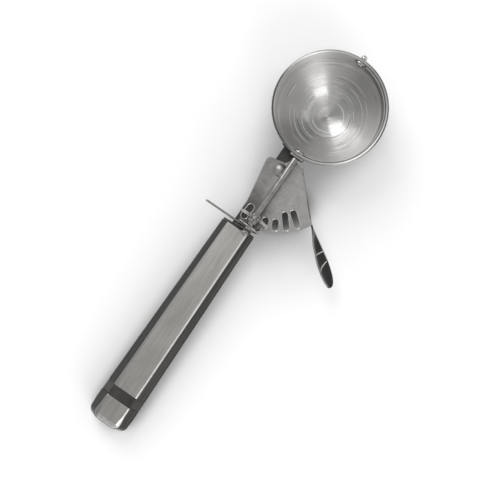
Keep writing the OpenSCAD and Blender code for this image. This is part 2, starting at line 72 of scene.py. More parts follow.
class Finish:
    # one material: a principled surface whose inputs are fed by expressions
    def __init__(self, name):
        self.material = bpy.data.materials.new(name)
        self.material.use_nodes = True
        self.tree = self.material.node_tree
        self.surface = self.tree.nodes["Principled BSDF"]

    def node(self, kind, settings=None, sockets=None, out=0):
        made = self.tree.nodes.new(kind)
        for key, value in (settings or {}).items():
            setattr(made, key, value)
        for key, value in (sockets or {}).items():
            if isinstance(value, Sock):
                self.tree.links.new(value.out, made.inputs[key])
            else:
                made.inputs[key].default_value = value
        return Sock(self, made.outputs[out])

    def maths(self, operation, a, b=0.0):
        return self.node("ShaderNodeMath", {"operation": operation}, {0: a, 1: b})

    def feed(self, **inputs):
        for key, value in inputs.items():
            socket = self.surface.inputs[key.replace("_", " ")]
            if isinstance(value, Sock):
                self.tree.links.new(value.out, socket)
            else:
                socket.default_value = value

    def place(self):
        return self.node("ShaderNodeTexCoord", out=3)      # the piece's own frame

    def scaled(self, vector, x, y, z):
        return self.node("ShaderNodeVectorMath", {"operation": "MULTIPLY"}, {0: vector, 1: (x, y, z)})

    def noise(self, vector, scale, detail=3.0, rough=0.55):
        return self.node("ShaderNodeTexNoise", {}, {"Vector": vector, "Scale": scale,
                                                    "Detail": detail, "Roughness": rough})

    def ramp(self, value, low, high, a=0.0, b=1.0):
        return self.node("ShaderNodeMapRange", {"interpolation_type": "SMOOTHSTEP"},
                         {"Value": value, "From Min": low, "From Max": high,
                          "To Min": a, "To Max": b})

    def tint(self, factor, dark, light):
        return self.node("ShaderNodeMix", {"data_type": "RGBA"},
                         {0: factor, 6: (*dark, 1), 7: (*light, 1)}, out=2)

    def blend(self, factor, a, b):
        return self.node("ShaderNodeMix", {"data_type": "RGBA"}, {0: factor, 6: a, 7: b}, out=2)

    def dimmed(self, colour, by):
        return self.node("ShaderNodeVectorMath", {"operation": "SCALE"}, {0: colour, "Scale": by})

    def dot(self, vector, way):
        return self.node("ShaderNodeVectorMath", {"operation": "DOT_PRODUCT"},
                         {0: vector, 1: way}, out=1)

    def gap(self, vector, spot):
        return self.node("ShaderNodeVectorMath", {"operation": "DISTANCE"},
                         {0: vector, 1: spot}, out=1)

    def absolute(self, value):
        return self.maths("ABSOLUTE", value)

    def bump(self, height, strength, distance):
        return self.node("ShaderNodeBump", {}, {"Height": height, "Strength": strength,
                                                "Distance": distance})


def shade(colour, k):
    return tuple(c * k for c in colour)


# glintRings are painted highlights, bright rings, and darkRings painted dark rings between them:
# angle up from the bottom, and width. shadeAxis points to the two sides where the rim's painted shade
# is deepest, sheenAxis along the painted sheen
bowlLooks = {"colour": (0.93, 0.92, 0.905), "outside": (0.04, 0.039, 0.038), "rough": 0.29,
             "rings": 0.55, "darkest": 0.54, "brightest": 1.28, "most": (0.98, 0.97, 0.96),
             "glintRings": ((0.30, 0.02), (0.53, 0.018), (0.70, 0.014), (0.84, 0.012), (0.94, 0.02),
                       (1.02, 0.01), (1.15, 0.016), (1.24, 0.01)),
             "darkRings": ((0.42, 0.016), (0.61, 0.022), (0.78, 0.012), (0.98, 0.012), (1.09, 0.014),
                        (1.19, 0.01), (1.29, 0.01), (1.36, 0.008)),
             "shadeAxis": (19.8, -28.9, 0.0), "sheenAxis": (0.432, 0.902, 0)}


def bowlSteel():
    # the bowl's inside and its rolled rim: polished, with fine rings left by spinning
    f = Finish("bowlSteel")
    p = f.place()
    height = f.node("ShaderNodeSeparateXYZ", {}, {0: p}, out=2)
    radius = f.node("ShaderNodeVectorMath", {"operation": "LENGTH"}, {0: f.scaled(p, 1, 1, 0)}, out=1)
    # painted shade: the rolled rim's outer half is dark, fully so at two sides
    towards = f.dot(p, bowlLooks["shadeAxis"])
    sideShade = f.ramp(f.absolute(towards), 0.60, 0.86)
    # and the painted shade reaches over more of its width on one side
    wideShade = f.ramp(0.0 - towards, 0.45, 0.80)
    outside = f.ramp(radius + wideShade * 0.00035, 0.0284, 0.0286) * (0.55 + sideShade * 0.45)
    along = f.maths("ARCTAN2", radius, 0.0 - height)
    fine = f.noise(f.node("ShaderNodeCombineXYZ", {}, {0: along}), 170.0, 3.0, 0.7)
    broken = f.ramp(f.noise(p, 75.0, 2.0), 0.42, 0.60)
    lines = f.noise(f.node("ShaderNodeCombineXYZ", {}, {0: along, 1: 3.0}), 46.0, 2.0)
    lines = f.ramp(lines, 0.56, 0.70)
    broad = f.noise(f.node("ShaderNodeCombineXYZ", {}, {0: along, 1: 7.0}), 9.0, 2.0)

    def rings(places, seed):
        found = None
        for k, (turn, width) in enumerate(places):
            here = f.ramp(f.absolute(along - turn), 0.0, width, 1.0, 0.0)
            part = here * f.ramp(f.noise(f.scaled(p, 1, 1, 0.2), seed + 9 * k, 1.0), 0.48, 0.60)
            found = found + part if found else part
        return found

    glintRings, darkRings = rings(bowlLooks["glintRings"], 42.0), rings(bowlLooks["darkRings"], 51.0)
    smear = f.noise(p, 60.0, 3.0)
    scuff = f.ramp(f.noise(f.scaled(p, 120, 620, 620), 1.0, 4.0), 0.60, 0.72)
    tone = fine * 0.40 + smear * 0.3 + lines * broken * 0.5 + (broad - 0.5) * 0.5
    inner = f.tint(f.ramp(tone, 0.38, 0.68), shade(bowlLooks["colour"], bowlLooks["darkest"]),
                   shade(bowlLooks["colour"], bowlLooks["brightest"]))
    # the painted shade's own dark colour, with random tone
    outer = f.tint(smear, shade(bowlLooks["outside"], 0.8), shade(bowlLooks["outside"], 1.2))
    # painted sheen: brighter towards the rim and in two lobes along sheenAxis, darker on the painted
    # dark rings
    across = f.node("ShaderNodeVectorMath", {"operation": "NORMALIZE"}, {0: f.scaled(p, 1, 1, 0)})
    sheenLobes = f.absolute(f.dot(across, bowlLooks["sheenAxis"]))
    paintedSheen = (f.ramp(along, 0.15, 1.20, 0.86, 1.26) * f.ramp(sheenLobes, 0.15, 0.75, 0.72, 1.06)
              * (1.0 - darkRings * 0.6))
    inner = f.node("ShaderNodeVectorMath", {"operation": "MINIMUM"},
                   {0: f.dimmed(inner, paintedSheen), 1: bowlLooks["most"]})
    # painted highlights: the glint rings are white and less metallic, so they stay bright under any
    # lamp
    f.feed(Base_Color=f.blend(glintRings * 0.75, f.blend(outside, inner, outer),
                              f.tint(glintRings, (0.5, 0.5, 0.5), (1.0, 1.0, 1.0))),
           Metallic=1.0 - glintRings * 0.75, Anisotropic=0.95, Anisotropic_Rotation=0.25,
           Coat_Weight=0.75, Coat_Roughness=0.09, Coat_IOR=2.0,
           Roughness=(bowlLooks["rough"] + f.ramp(along, 0.5, 1.2, 0.0, 0.12)
                      + (fine - 0.5) * 0.12 + (broad - 0.5) * 0.20 + scuff * 0.06 + outside * 0.10),
           Normal=f.bump(fine * 0.35 + lines * broken, bowlLooks["rings"], 0.0003))
    return f.material


# rimShade is the height, in metres, over which the back darkens up under the rim
backLooks = {"colour": (0.60, 0.59, 0.575), "shade": (0.04, 0.039, 0.038), "rough": 0.24,
             "rimShade": (-0.0035, 0.0012)}


def bowlBackSteel():
    # the bowl's back: spun rings level with the rim, satin, and with painted shade close under the
    # rim
    f = Finish("bowlBackSteel")
    p = f.place()
    height = f.dot(p, tuple(toolZ))
    rings = f.noise(f.node("ShaderNodeCombineXYZ", {}, {0: height}), 3800.0, 3.0, 0.7)
    wide = f.noise(f.node("ShaderNodeCombineXYZ", {}, {0: height, 1: 4.0}), 420.0, 2.0)
    smear = f.noise(p, 70.0, 4.0, 0.6)
    rub = f.ramp(f.noise(f.scaled(p, 900, 900, 160), 1.0, 2.0), 0.64, 0.74)
    steel = f.tint(f.ramp(rings * 0.35 + smear * 0.45 + wide * 0.2, 0.36, 0.64),
                   shade(backLooks["colour"], 0.74), shade(backLooks["colour"], 1.12))
    dark = f.tint(smear, shade(backLooks["shade"], 0.8), shade(backLooks["shade"], 1.2))
    f.feed(Base_Color=f.blend(f.ramp(height, *backLooks["rimShade"]), steel, dark),
           Metallic=1.0, Anisotropic=0.5, Anisotropic_Rotation=0.25,
           Roughness=(backLooks["rough"] + (rings - 0.5) * 0.14 + (smear - 0.5) * 0.22
                      + rub * 0.08),
           Normal=f.bump(rings * 0.6 + wide - rub * 0.4, 0.30, 0.00008))
    return f.material


# darkSpot is a spot by the star wheel round which the plate is darker, thumb the way that the pad's
# thumb side faces
plateLooks = {"colour": (0.36, 0.352, 0.342), "rough": 0.33, "darkSpot": (-0.0655, 0.0050, -0.0068),
              "thumb": (0.766, -0.643, 0.0)}


def plateSteel(name="plateSteel", colour=plateLooks["colour"], rough=plateLooks["rough"],
               seed=0.0, away=None):
    # rolled sheet, tumbled after stamping: cloudy, with short fine scratches
    f = Finish(name)
    p = f.node("ShaderNodeVectorMath", {"operation": "ADD"}, {0: f.place(), 1: (seed, seed, seed)})
    cloud = f.noise(p, 170.0, 4.0, 0.6)
    speck = f.noise(p, 1500.0, 2.0)
    scratch = (f.ramp(f.noise(f.scaled(p, 260, 4200, 900), 1.0, 2.0), 0.62, 0.72)
               + f.ramp(f.noise(f.scaled(p, 3600, 330, 900), 1.0, 2.0), 0.64, 0.74))
    gap = f.gap(p, plateLooks["darkSpot"])
    side = f.node("ShaderNodeSeparateXYZ", {}, {0: p}, out=1)
    # darker round darkSpot, and painted shade making the plate darker left of the shaft
    spotAndShade = (f.ramp(gap + (cloud - 0.5) * 0.006, 0.004, 0.016, 0.45, 1.0)
              * f.ramp(side, 0.001, 0.007, 1.04, 0.72))
    steel = f.tint(f.ramp(cloud * 0.5 + speck * 0.5, 0.34, 0.66),
                   shade(colour, 0.88), shade(colour, 1.12))
    if away:
        # painted shade: the thumb's side is painted dark, the side turned away from it is lighter
        turned = f.dot(f.node("ShaderNodeTexCoord", out=1), plateLooks["thumb"])
        steel = f.blend(f.ramp(turned, -0.35, 0.05, 1.0, 0.0), steel,
                        f.tint(f.ramp(cloud, 0.35, 0.65), shade(away, 0.85), shade(away, 1.1)))
        f.feed(Specular_Tint=(0.5, 0.5, 0.5, 1))
    f.feed(Base_Color=f.dimmed(steel, spotAndShade),
           Metallic=1.0,
           Roughness=rough + (cloud - 0.5) * 0.22 + (speck - 0.5) * 0.12 - scratch * 0.08,
           Normal=f.bump(speck * 0.5 - scratch * 0.6, 0.22, 0.00004))
    return f.material


# flat and under are painted light, sides painted shade, edges painted highlights
handleLooks = {"flat": (0.52, 0.502, 0.482), "sides": (0.050, 0.0485, 0.046),
               "under": (0.30, 0.29, 0.28), "edges": (0.85, 0.84, 0.82), "rough": 0.28}


def handleSteel():
    # satin, brushed along the handle, with painted light and shade: the flats painted light, the
    # upper sloping sides painted dark, the lower ones lighter, the edges painted bright as
    # highlights, and the front end lighter. The piece's own Z runs along it and its X across the
    # flats
    f = Finish("handleSteel")
    p = f.place()
    normal = f.node("ShaderNodeSeparateXYZ", {}, {0: f.node("ShaderNodeTexCoord", out=1)})
    across = Sock(f, normal.out.node.outputs[1])
    facing = f.absolute(normal)
    hair = f.noise(f.scaled(p, 3400, 3400, 26), 1.0, 3.0, 0.65)
    streak = f.noise(f.scaled(p, 620, 620, 9), 1.0, 3.0)
    cloud = f.noise(f.scaled(p, 110, 110, 40), 1.0, 3.0)
    nick = f.ramp(f.noise(f.scaled(p, 1300, 1300, 240), 1.0, 1.0), 0.74, 0.79)
    length = f.node("ShaderNodeSeparateXYZ", {}, {0: p}, out=2)
    # the brushing's random tone, with painted light brighter towards the front end
    brushedAndShaded = (f.ramp(hair * 0.45 + streak * 0.25 + cloud * 0.3, 0.34, 0.66, 0.80, 1.10)
               * f.ramp(length, 0.075, 0.19, 1.08, 0.86))
    # painted light and shade by the way each face turns: flats light, upper slopes dark, lower ones
    # lighter, bright corners
    flat = f.ramp(facing, 0.93, 0.985)
    edge = (f.ramp(facing, 0.52, 0.60) * (1.0 - f.ramp(facing, 0.955, 0.99))
            + (1.0 - f.ramp(facing, 0.30, 0.46)))
    slope = f.dimmed(f.tint(f.ramp(normal, -0.3, 0.2), handleLooks["under"], handleLooks["sides"]),
                     f.ramp(streak * 0.6 + hair * 0.4, 0.36, 0.64, 0.60, 1.45))
    colour = f.blend(flat, slope, (*handleLooks["flat"], 1))
    colour = f.blend(edge * (0.55 + streak * 0.5), colour, (*handleLooks["edges"], 1))
    # painted shade: the upper side on the left darker still
    left = f.ramp(across, -0.2, 0.3) * f.ramp(normal, -0.1, 0.2)
    f.feed(Base_Color=f.dimmed(colour, brushedAndShaded * (1.0 - left * 0.55)), Metallic=1.0, Anisotropic=0.5,
           Roughness=handleLooks["rough"] + (hair - 0.5) * 0.16 + (cloud - 0.5) * 0.16 + nick * 0.1,
           Normal=f.bump(hair + streak * 0.4 - nick * 0.6, 0.16, 0.00004))
    return f.material


turnedLooks = {"colour": (0.33, 0.323, 0.312), "rough": 0.13}


def turnedSteel():
    # bright bar and rivets, with tool marks across the turning axis
    f = Finish("turnedSteel")
    p = f.place()
    ring = f.noise(f.scaled(p, 2600, 160, 160), 1.0, 3.0)
    smear = f.noise(p, 240.0, 3.0)
    f.feed(Base_Color=f.tint(f.ramp(ring * 0.5 + smear * 0.5, 0.35, 0.65),
                             shade(turnedLooks["colour"], 0.70), turnedLooks["colour"]),
           Metallic=1.0, Specular_Tint=(0.03, 0.03, 0.03, 1),
           Roughness=turnedLooks["rough"] + (ring - 0.5) * 0.16 + (smear - 0.5) * 0.14,
           Normal=f.bump(ring, 0.12, 0.00003))
    return f.material


bandLooks = {"colour": (0.030, 0.028, 0.026), "rough": 0.46}


def darkPlastic():
    # moulded plastic with a fine spark-eroded grain, a little polished by hands
    f = Finish("darkPlastic")
    p = f.place()
    grain = f.noise(p, 2600.0, 3.0, 0.6)
    worn = f.noise(p, 190.0, 3.0)
    f.feed(Base_Color=f.tint(f.ramp(worn * 0.7 + grain * 0.3, 0.35, 0.65),
                             shade(bandLooks["colour"], 0.7), shade(bandLooks["colour"], 1.5)),
           Metallic=0.0, Specular_IOR_Level=0.3, Roughness=bandLooks["rough"] + (worn - 0.5) * 0.3,
           Normal=f.bump(grain, 0.3, 0.00005))
    return f.material


finishes = {
    "bowl": bowlSteel(), "bowlBack": bowlBackSteel(), "plate": plateSteel(),
    "handle": handleSteel(), "turned": turnedSteel(),
    "stamped": plateSteel("stampedSteel", (0.10, 0.098, 0.095), 0.30, 0.31),
    "blade": plateSteel("bladeSteel", (0.62, 0.61, 0.60), 0.17, 0.77),
    "wire": plateSteel("springWire", (0.40, 0.392, 0.38), 0.18, 0.13),
    "pad": plateSteel("padSteel", (0.055, 0.054, 0.053), 0.26, 0.52, (0.42, 0.41, 0.40)),
    "plastic": darkPlastic(),
}
print("finishes made")


def joined(parts):
    # several (points, faces) pairs as one
    verts, faces = [], []
    for partVerts, partFaces in parts:
        faces += [tuple(k + len(verts) for k in f) for f in partFaces]
        verts += partVerts
    return verts, faces


def sheet(skins, rows, across):
    # two skins of rows x across squares, one after the other in the points, closed at the edges
    n, layer = across + 1, (rows + 1) * (across + 1)
    faces = []
    for i in range(rows):
        for j in range(across):
            a = i * n + j
            faces.append((a, a + 1, a + n + 1, a + n))
            faces.append((layer + a, layer + a + n, layer + a + n + 1, layer + a + 1))
        for j in (0, across):
            a = i * n + j
            faces.append((a, a + n, layer + a + n, layer + a))
    for i in (0, rows):
        for j in range(across):
            a = i * n + j
            faces.append((a, a + 1, layer + a + 1, layer + a))
    return skins, faces


def addPiece(name, verts, faces, body, slotName, finish, replaced=(), matrix=None, sharp=32.0,
             bevel=0.0):
    mesh = bpy.data.meshes.new(name)
    mesh.from_pydata([Vector(v) * mm for v in verts], [], faces)
    return setPiece(name, mesh, body, slotName, finish, replaced, matrix, sharp, bevel)


def setPiece(name, mesh, body, slotName, finish, replaced=(), matrix=None, sharp=32.0,
             bevel=0.0):
    b = bmesh.new()
    b.from_mesh(mesh)
    bmesh.ops.remove_doubles(b, verts=b.verts, dist=1e-6)
    bmesh.ops.recalc_face_normals(b, faces=b.faces)
    b.to_mesh(mesh)
    b.free()
    piece = bpy.data.objects.new(name, mesh)
    bpy.context.scene.collection.objects.link(piece)
    piece.matrix_world = toolMatrix @ (matrix or Matrix.Identity(4))
    mesh.materials.clear()
    mesh.materials.append(finishes[finish])
    if sharp < 30:
        piece.modifiers.new("even", "WEIGHTED_NORMAL").keep_sharp = True
    if bevel:
        soften = piece.modifiers.new("soften", "BEVEL")
        soften.width = bevel * mm
        soften.segments = 2
        soften.limit_method = "ANGLE"
        soften.angle_limit = math.radians(sharp)
        soften.harden_normals = True
    mesh.shade_smooth()
    mesh.set_sharp_from_angle(angle=math.radians(sharp))
    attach(piece, body)
    if replaced:
        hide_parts(*replaced)
    return piece


def softCopy(node, body, slotName, finish, bevel):
    # the CAD node's own shape, with its hard corners softened
    mesh = frame["nodes"][node].data.copy()
    mesh.transform(toTool)
    b = bmesh.new()
    b.from_mesh(mesh)
    bmesh.ops.remove_doubles(b, verts=b.verts, dist=2e-6)
    bmesh.ops.dissolve_limit(b, angle_limit=math.radians(0.5), verts=b.verts, edges=b.edges)
    b.to_mesh(mesh)
    b.free()
    if mesh.has_custom_normals:
        mesh.attributes.remove(mesh.attributes["custom_normal"])
    return setPiece(node + "_soft", mesh, body, slotName, finish, (node,), None, 30.0, bevel)


def roundCorners(points, radii, steps=4):
    # a profile whose inner corners become arcs; ends stay as they are
    out = [points[0]]
    for before, at, after, r in zip(points, points[1:], points[2:], radii[1:]):
        a, b = Vector(before) - Vector(at), Vector(after) - Vector(at)
        r = min(r, a.length * 0.49, b.length * 0.49)
        if r <= 0:
            out.append(at)
            continue
        p0, p1, p2 = Vector(at) + a.normalized() * r, Vector(at), Vector(at) + b.normalized() * r
        for i in range(steps + 1):
            t = i / steps
            out.append(tuple(p0 * (1 - t) ** 2 + p1 * 2 * t * (1 - t) + p2 * t * t))
    out.append(points[-1])
    return out


def lathe(profile, sides, axis="X", centre=(0, 0, 0)):
    # turns (place along the axis, radius) pairs round the axis
    verts, faces = [], []
    for s in range(sides):
        a = 2 * math.pi * s / sides
        for along, r in profile:
            across = (r * math.cos(a), r * math.sin(a))
            local = (along, *across) if axis == "X" else (*across, along)
            verts.append(Vector(local) + Vector(centre))
    n = len(profile)
    for s in range(sides):
        t = (s + 1) % sides
        for i in range(n - 1):
            faces.append((s * n + i, t * n + i, t * n + i + 1, s * n + i + 1))
    return verts, faces


def tube(path, radius, sides=16):
    # sweeps a round wire along points, with rounded ends
    frames, out = [], Vector((0, 0, 1))
    for i, p in enumerate(path):
        t = (path[min(i + 1, len(path) - 1)] - path[max(i - 1, 0)]).normalized()
        out = (out - t * out.dot(t)).normalized()
        frames.append((p, t, out))
    rings = []
    for turn in (math.radians(a) for a in (5, 30, 60)):
        p, t, o = frames[0]
        rings.append((p - t * radius * math.cos(turn), t, o, radius * math.sin(turn)))
    rings += [(p, t, o, radius) for p, t, o in frames]
    for turn in (math.radians(a) for a in (60, 30, 5)):
        p, t, o = frames[-1]
        rings.append((p + t * radius * math.cos(turn), t, o, radius * math.sin(turn)))
    verts, faces = [], []
    for p, t, o, r in rings:
        side = t.cross(o)
        for k in range(sides):
            a = 2 * math.pi * k / sides
            verts.append(p + (o * math.cos(a) + side * math.sin(a)) * r)
    for i in range(len(rings) - 1):
        for k in range(sides):
            n = (k + 1) % sides
            faces.append((i * sides + k, i * sides + n, (i + 1) * sides + n, (i + 1) * sides + k))
    faces.append(tuple(range(sides - 1, -1, -1)))
    faces.append(tuple(range(len(verts) - sides, len(verts))))
    return verts, faces


def spanOf(node):
    # a node's lowest and highest corners in the tool's frame, in mm
    corners = [toTool @ v.co / mm for v in frame["nodes"][node].data.vertices]
    return [[pick(c[i] for c in corners) for i in range(3)] for pick in (min, max)]


# bead is the rolled rim's thickness; it rolls from one angle over to the other, in degrees.
# skin parts the lining from the back, which is a piece of its own.
bowlSize = {"inner": 28.0, "wall": 0.8, "rim": 3.6, "bead": 1.4, "beadFrom": 215, "beadTurn": 250,
            "beadSteps": 16, "upTo": 0.86, "skin": 0.06, "pole": 0.02, "rings": 120, "sides": 192}


def makeBowl():
    s = bowlSize
    outer = s["inner"] + s["wall"]
    rimTurn = math.asin(s["rim"] / outer)
    beadAt = math.sqrt(outer ** 2 - s["rim"] ** 2) - s["wall"] / 2 + s["bead"] / 4
    sweep = math.pi / 2 + rimTurn * s["upTo"]
    turns = [-math.pi / 2 + sweep * i / s["rings"] for i in range(s["rings"] + 1)]

    def skin(r):
        return [(r * math.sin(a), max(s["pole"], r * math.cos(a))) for a in turns]

    bead = []
    for i in range(s["beadSteps"] + 1):
        a = math.radians(s["beadFrom"] - s["beadTurn"] * i / s["beadSteps"])
        bead.append((s["rim"] + s["bead"] / 2 * math.sin(a), beadAt + s["bead"] / 2 * math.cos(a)))
    lining = skin(s["inner"]) + bead + skin(outer)[-1:] + skin(s["inner"] + s["skin"])[::-1]
    verts, faces = lathe(lining, s["sides"], "Z")
    addPiece("bowl_shell", verts, faces, "frame", "polished_steel", "bowl", ("bowl",), sharp=50)
    # the back is a piece of its own that stands level, so that its box is no deeper than the bowl
    level = toTool.to_3x3().to_4x4()
    verts, faces = lathe(skin(outer) + skin(s["inner"] + 2 * s["skin"])[::-1], s["sides"], "Z")
    verts = [level.inverted() @ v for v in verts]
    addPiece("bowl_back", verts, faces, "frame", "polished_steel", "bowlBack", (), level, sharp=50)


makeBowl()
print("bowl made")


# radii in mm; spigotEnd is where the shaft steps down to its spigot, plateTop a hair over the
# lever's face, and centre keeps a turned profile off its own axis
turnedSize = {"shaft": 1.55, "spigot": 1.1, "head": 2.0, "headThick": 0.8, "spigotEnd": -27.52,
              "pin": 1.0, "knob": 1.6, "washer": 2.3, "collar": 2.65, "clip": 2.1, "onShaft": 1.57,
              "spacer": 3.5, "rivet": 1.4, "rivetFoot": 1.8, "dome": 3.5, "plateTop": -6.35 + 0.06,
              "centre": 0.02, "sides": 56}


def turned(name, profile, radii, body, slotName, finish, node, axis="X", centre=(0, 0, 0)):
    corners = roundCorners(profile, radii)
    verts, faces = lathe(corners, turnedSize["sides"], axis, centre)
    return addPiece(name, verts, faces, body, slotName, finish, (node,), sharp=40)


def turnedRing(name, node, inner, outer, radii, body, slotName, finish, axis="X", centre=(0, 0, 0)):
    # a plain ring as long as its node
    k = "XYZ".index(axis)
    start, end = (corner[k] for corner in spanOf(node))
    profile = [(start, inner), (start, outer), (end, outer), (end, inner), (start, inner)]
    return turned(name, profile, radii, body, slotName, finish, node, axis, centre)


def makeTurned():
    s = turnedSize
    thin = s["centre"]
    shaftLow, shaftHigh = spanOf("scraper_shaft")
    head, tip, step = shaftHigh[0] - s["headThick"], shaftHigh[0], s["spigotEnd"]
    turned("shaft_bar", [(shaftLow[0], thin), (shaftLow[0], s["shaft"]), (step, s["shaft"]),
                         (step, s["spigot"]), (head, s["spigot"]), (head, s["head"]),
                         (tip, s["head"]), (tip, thin)],
           [0, 0.3, 0.15, 0, 0, 0.1, 0.7, 0], "scraper", "turned_steel", "turned", "scraper_shaft")
    turnedRing("tip_washer", "front_washer", 1.06, s["washer"], [0, 0.15, 0.2, 0.1, 0],
               "frame", "plate_steel", "plate")

    pinLow, pinHigh = spanOf("front_pivot_pin")
    knob, ball = spanOf("front_washer")[1][0] + 0.04, s["knob"]
    dome = [(pinHigh[0] - ball + ball * math.sin(math.radians(a)),
             max(thin, ball * math.cos(math.radians(a)))) for a in range(0, 91, 9)]
    foot, neck = pinLow[0] + s["headThick"], s["pin"]
    profile = [(pinLow[0], thin), (pinLow[0], s["head"]), (foot, s["head"]), (foot, neck),
               (knob, neck), (knob, 1.45), (knob + 0.25, ball)] + dome
    turned("tip_pin", profile, [0, 0.6, 0.1, 0, 0, 0.1] + [0.0] * 12, "scraper", "turned_steel",
           "blade", "front_pivot_pin")

    fitted = [0, 0.25, 0.25, 0.1, 0]
    turnedRing("collar_ring", "wheel_collar", s["onShaft"], s["collar"], fitted,
               "scraper", "turned_steel", "turned")
    turnedRing("clip_ring", "shaft_clip", s["onShaft"], s["clip"], fitted,
               "scraper", "spring_wire", "wire")
    upright = (pivot[0], pivot[1], 0)
    turnedRing("pivot_spacer", "pivot_washer", 1.42, s["spacer"], [0, 0.1, 0.1, 0.1, 0],
               "frame", "plate_steel", "plate", "Z", upright)

    rivetLow, rivetHigh = spanOf("pivot_rivet")
    top = s["plateTop"]
    domeH, domeR = rivetHigh[2] - top, s["dome"]
    ball = (domeR ** 2 + domeH ** 2) / (2 * domeH)
    reach = math.asin(domeR / ball)
    slopes = [reach * (1 - i / 12) for i in range(13)]
    cap = [(rivetHigh[2] - ball + ball * math.cos(a), max(thin, ball * math.sin(a)))
           for a in slopes]
    foot, neck = rivetLow[2] + 0.9, s["rivet"]
    profile = [(rivetLow[2], thin), (rivetLow[2], s["rivetFoot"]), (foot, s["rivetFoot"]),
               (foot, neck), (top, neck), (top, 3.3), (top + 0.1, 3.47)] + cap
    turned("pivot_dome", profile, [0, 0.3, 0.1, 0, 0, 0.05] + [0.0] * 14, "frame", "turned_steel",
           "plate", "pivot_rivet", "Z", upright)


makeTurned()
print("turned pieces made")


# the band sweeps from start over the turn, in degrees; lens sets how it widens in the middle
bladeSize = {"outer": 27.55, "thick": 0.6, "width": 9.0, "endR": 3.4, "endT": 0.75, "endHole": 1.0,
             "park": 5.0, "start": 7.0, "turn": 166.0, "lens": 28.0, "steps": 96, "across": 8}


def makeBlade():
    s = bladeSize
    half, steps, across = s["outer"], s["steps"], s["across"]
    inner = half - s["thick"]
    sag = s["width"] / 2 - s["endR"]
    lens = (s["lens"] ** 2 + sag ** 2) / (2 * sag)
    verts = []
    for skin in (half, inner):
        for i in range(steps + 1):
            a = math.radians(s["start"] + s["turn"] * i / steps)
            x = -skin * math.cos(a)
            w = math.sqrt(lens ** 2 - x * x) - lens + s["width"] / 2
            for j in range(across + 1):
                z = w * (2 * j / across - 1)
                flat = math.sqrt(max(0.0, skin ** 2 - z * z))
                verts.append((-flat * math.cos(a), -flat * math.sin(a), z))
    parts = [sheet(verts, steps, across)]
    face, hole = half - 0.05, s["endHole"]
    for end in (-1, 1):
        x0, x1 = sorted((end * face, end * (face - s["endT"])))
        ring = roundCorners([(x0, hole), (x0, s["endR"]), (x1, s["endR"]), (x1, hole), (x0, hole)],
                            [0, 0.15, 0.15, 0.1, 0])
        parts.append(lathe(ring, 48, "X"))
    verts, faces = joined(parts)
    parked = Matrix.Rotation(math.radians(s["park"]), 4, "X")
    return addPiece("blade_band", verts, faces, "scraper", "blade_steel", "blade",
                    ("scraper_blade",), parked, sharp=40, bevel=0.12)


makeBlade()
print("blade made")


# Points on the lever's plate are (right, down) from the pivot, seen into the mouth, and angles
# run from straight down towards the right. slots says how near the pivot each slot begins,
# creases the place down the pad and the lean across it of each pressed ridge.
leverSize = {"plate": 0.9, "level": -6.8, "edge": 0.2, "corner": (9.0, -7.3), "arcR": 32.0,
             "arcStart": 64.6, "arcEnd": -6.2, "hole": 1.46, "slot": 3.25, "lip": 1.2,
             "slots": (24, 26.5, 26.5, 26.5, 22.9, 22.9), "meshR": 27.7, "pitchR": 6.8, "teeth": 8,
             "rimOut": 0.18, "rimR": 0.26, "flange": 7.0, "middle": -9.85, "padL": 34.0,
             "padW": 14.0, "padTurn": 50.0, "padStart": 0.9, "widest": 0.66, "twist": 24.0,
             "creases": ((0.46, 0.02), (0.66, 0.07)), "creaseDeep": 0.35, "creaseWide": 0.016,
             "ridgeR": 0.50, "trimR": 0.40, "across": 20}


def fromPivot(right, down, z):
    return Vector((pivot[0] - down, pivot[1] - right, z))


def arcPoints(centre, r, start, end, n):
    turns = [math.radians(start + (end - start) * i / n) for i in range(n + 1)]
    return [(centre[0] + r * math.sin(a), centre[1] + r * math.cos(a)) for a in turns]


def plateOutline():
    s = leverSize
    return ([s["corner"]] + arcPoints((0, 0), s["arcR"], s["arcStart"], s["arcEnd"], 72)
            + [(-8.95, 0.2)] + arcPoints((-6.9, -1.1), 2.1, -98, -170, 10)
            + [(-3.2, -3.9), (-1.6, -4.3)] + arcPoints((-1.2, -6.9), 2.6, 10, 60, 8)
            + [(1.9, -7.6), (5.2, -7.7), (6.4, -7.2), (7.4, -6.7), (8.0, -6.8)])


def slotOutline(turn, inner, inset):
    s = leverSize
    r = s["slot"] / 2 - inset
    outer = s["arcR"] - s["lip"] - s["slot"] / 2
    loop = [(r * math.cos(math.radians(a)), end + r * math.sin(math.radians(a)))
            for end, start in ((outer, 0), (inner, 180)) for a in range(start, start + 181, 12)]
    t = math.radians(turn)
    return [(x * math.cos(t) + y * math.sin(t), -x * math.sin(t) + y * math.cos(t))
            for x, y in loop]


def slotLoops(inset=0.0):
    # the slots stand at the star wheel's pitch; the second is the one straight under the shaft
    s = leverSize
    second = math.degrees(math.atan(pivot[1] / s["meshR"]))
    pitch = 360 / s["teeth"] * s["pitchR"] / s["meshR"]
    return [slotOutline(second + (i - 1) * pitch, inner, inset)
            for i, inner in enumerate(s["slots"])]


